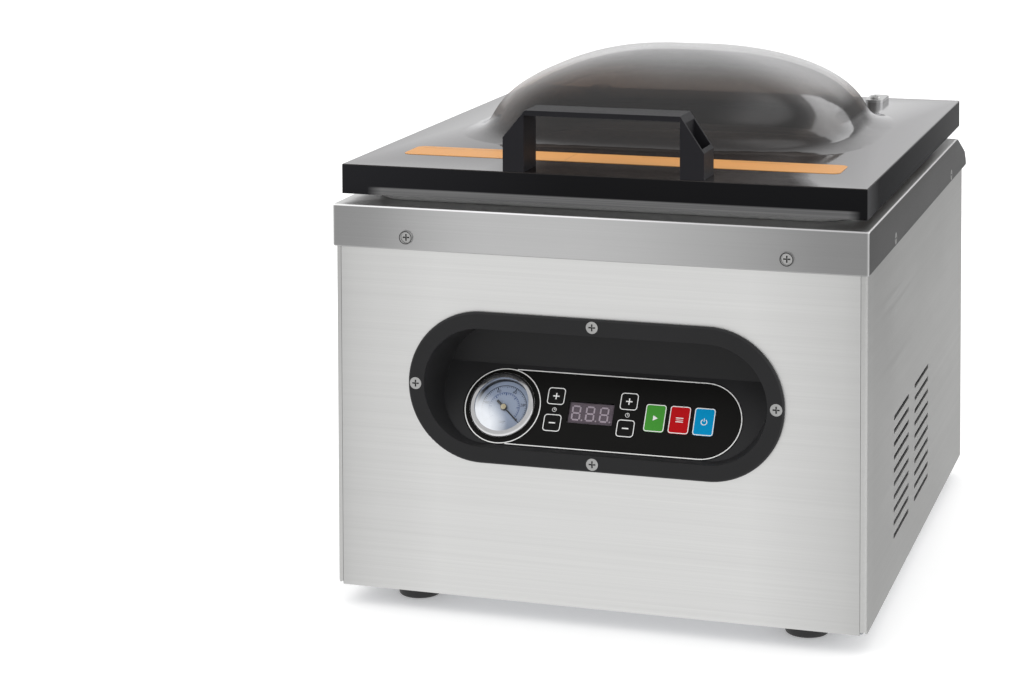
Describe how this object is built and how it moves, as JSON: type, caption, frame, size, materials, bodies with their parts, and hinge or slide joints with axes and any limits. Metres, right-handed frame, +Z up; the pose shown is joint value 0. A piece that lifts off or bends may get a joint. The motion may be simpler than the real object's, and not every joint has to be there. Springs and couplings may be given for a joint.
{
  "type": "vacuum chamber sealer",
  "caption": "Tabletop chamber vacuum sealer: brushed steel box, hinged smoked lid with blown dome and bar handle, recessed sloping control face with gauge and keys, lifting seal bar.",
  "frame": {"origin": "centre of the overall footprint, on the plane the feet stand on", "axes": "+X to the machine's right as seen from the front (the side with the coloured keys), +Y from the front panel to the hinges, +Z up"},
  "size_m": [0.363, 0.458, 0.3591],
  "materials": {
    "base_steel": "zinc coated",
    "foot_rubber": "matt",
    "screw_steel": "bright",
    "body_steel": "fine horizontal brushing",
    "side_steel": "fine horizontal brushing",
    "deck_steel": "satin brushed",
    "chamber_steel": "satin drawn",
    "white_polymer": "fine milled",
    "aluminium": "extruded",
    "hinge_steel": "brushed",
    "spring_steel": "drawn wire",
    "switch_plastic": "moulded",
    "bezel_plastic": "fine grained",
    "overlay_film": "satin film",
    "window_grey": "clear tinted",
    "segment_grey": "matt",
    "circuit_board": "solder resist",
    "gauge_steel": "matt black",
    "gauge_chrome": "polished",
    "dial_white": "matt print",
    "gauge_clear": "polished",
    "motor_paint": "painted",
    "fan_plastic": "moulded",
    "pump_casting": "cast",
    "transformer_core": "varnished",
    "brass_fittings": "machined",
    "hose_rubber": "matt",
    "inlet_plastic": "moulded",
    "lid_acrylic": "polished smoked",
    "gasket_grey": "matt",
    "silicone": "matt",
    "handle_plastic": "fine grained",
    "label_orange": "printed film",
    "insulator_strip": "laminate",
    "heater_alloy": "drawn strip",
    "release_tape": "coated weave",
    "needle_black": "matt",
    "plunger_plastic": "moulded",
    "key_black": "satin film",
    "key_green": "satin film",
    "key_red": "satin film",
    "key_blue": "satin film"
  },
  "bodies": {
    "body": {"base_plate": "base_steel", "rubber_feet": "foot_rubber", "foot_screws": "screw_steel", "front_panel": "body_steel", "right_side_panel": "side_steel", "left_side_panel": "side_steel", "back_panel": "body_steel", "rear_screws": "screw_steel", "top_deck": "deck_steel", "deck_screws": "screw_steel", "chamber_tub": "chamber_steel", "suction_port_cover": "screw_steel", "filler_plate": "white_polymer", "lift_cylinders": "aluminium", "lid_hinge_brackets": "hinge_steel", "lid_hinge_pins": "screw_steel", "lid_hinge_springs": "spring_steel", "lid_switch": "switch_plastic", "control_bezel": "bezel_plastic", "bezel_screws": "screw_steel", "control_overlay": "overlay_film", "display_window": "window_grey", "display_segments": "segment_grey", "control_board": "circuit_board", "gauge_case": "gauge_steel", "gauge_bezel": "gauge_chrome", "gauge_dial": "dial_white", "gauge_glass": "gauge_clear", "pump_motor": "motor_paint", "fan_cowl": "fan_plastic", "vacuum_pump": "pump_casting", "transformer": "transformer_core", "power_board": "circuit_board", "solenoid_valves": "brass_fittings", "chamber_ports": "brass_fittings", "vacuum_hoses": "hose_rubber", "power_inlet": "inlet_plastic"},
    "lid": {"lid_shell": "lid_acrylic", "lid_gasket": "gasket_grey", "counter_bar_rail": "aluminium", "counter_bar_pad": "silicone", "lid_handle": "handle_plastic", "lid_label": "label_orange", "lid_hinge_straps": "hinge_steel", "strap_screws": "screw_steel"},
    "seal_lift": {"seal_bar": "aluminium", "seal_bar_insulator": "insulator_strip", "heating_wires": "heater_alloy", "seal_bar_tape": "release_tape", "lift_rods": "screw_steel"},
    "motor_shaft": {"motor_rotor": "screw_steel"},
    "needle": {"gauge_needle": "needle_black"},
    "switch_plunger": {"lid_switch_plunger": "plunger_plastic"},
    "vacuum_plus_key_cap": {"vacuum_plus_key": "key_black"},
    "vacuum_minus_key_cap": {"vacuum_minus_key": "key_black"},
    "seal_plus_key_cap": {"seal_plus_key": "key_black"},
    "seal_minus_key_cap": {"seal_minus_key": "key_black"},
    "start_key_cap": {"start_key": "key_green"},
    "seal_key_cap": {"seal_key": "key_red"},
    "power_key_cap": {"power_key": "key_blue"}
  },
  "joints": [
    {"name": "lid_hinge", "type": "hinge", "parent": "body", "child": "lid", "pos_m": [0, 0.22, 0.272], "axis": [-1, 0, 0], "range_deg": [0, 78]},
    {"name": "seal_bar_lift", "type": "slide", "parent": "body", "child": "seal_lift", "axis": [0, 0, 1], "range_m": [0, 0.011]},
    {"name": "lid_switch_travel", "type": "slide", "parent": "body", "child": "switch_plunger", "axis": [0, 0, 1], "range_m": [0, 0.004]},
    {"name": "motor_spin", "type": "hinge", "parent": "body", "child": "motor_shaft", "pos_m": [0, 0.06, 0.078], "axis": [1, 0, 0], "continuous": true},
    {"name": "gauge_needle_turn", "type": "hinge", "parent": "body", "child": "needle", "pos_m": [-0.068, -0.20719, 0.13916], "axis": [0, -0.8192, 0.5736], "range_deg": [0, 260]},
    {"name": "vacuum_plus_key_press", "type": "slide", "parent": "body", "child": "vacuum_plus_key_cap", "axis": [0, 0.8192, -0.5736], "range_m": [0, 0.0005]},
    {"name": "vacuum_minus_key_press", "type": "slide", "parent": "body", "child": "vacuum_minus_key_cap", "axis": [0, 0.8192, -0.5736], "range_m": [0, 0.0005]},
    {"name": "seal_plus_key_press", "type": "slide", "parent": "body", "child": "seal_plus_key_cap", "axis": [0, 0.8192, -0.5736], "range_m": [0, 0.0005]},
    {"name": "seal_minus_key_press", "type": "slide", "parent": "body", "child": "seal_minus_key_cap", "axis": [0, 0.8192, -0.5736], "range_m": [0, 0.0005]},
    {"name": "start_key_press", "type": "slide", "parent": "body", "child": "start_key_cap", "axis": [0, 0.8192, -0.5736], "range_m": [0, 0.0005]},
    {"name": "seal_key_press", "type": "slide", "parent": "body", "child": "seal_key_cap", "axis": [0, 0.8192, -0.5736], "range_m": [0, 0.0005]},
    {"name": "power_key_press", "type": "slide", "parent": "body", "child": "power_key_cap", "axis": [0, 0.8192, -0.5736], "range_m": [0, 0.0005]}
  ],
  "couplings": [
    {"joint": "lid_switch_travel", "follows": "lid_hinge", "m_per_rad": 0.0029}
  ]
}
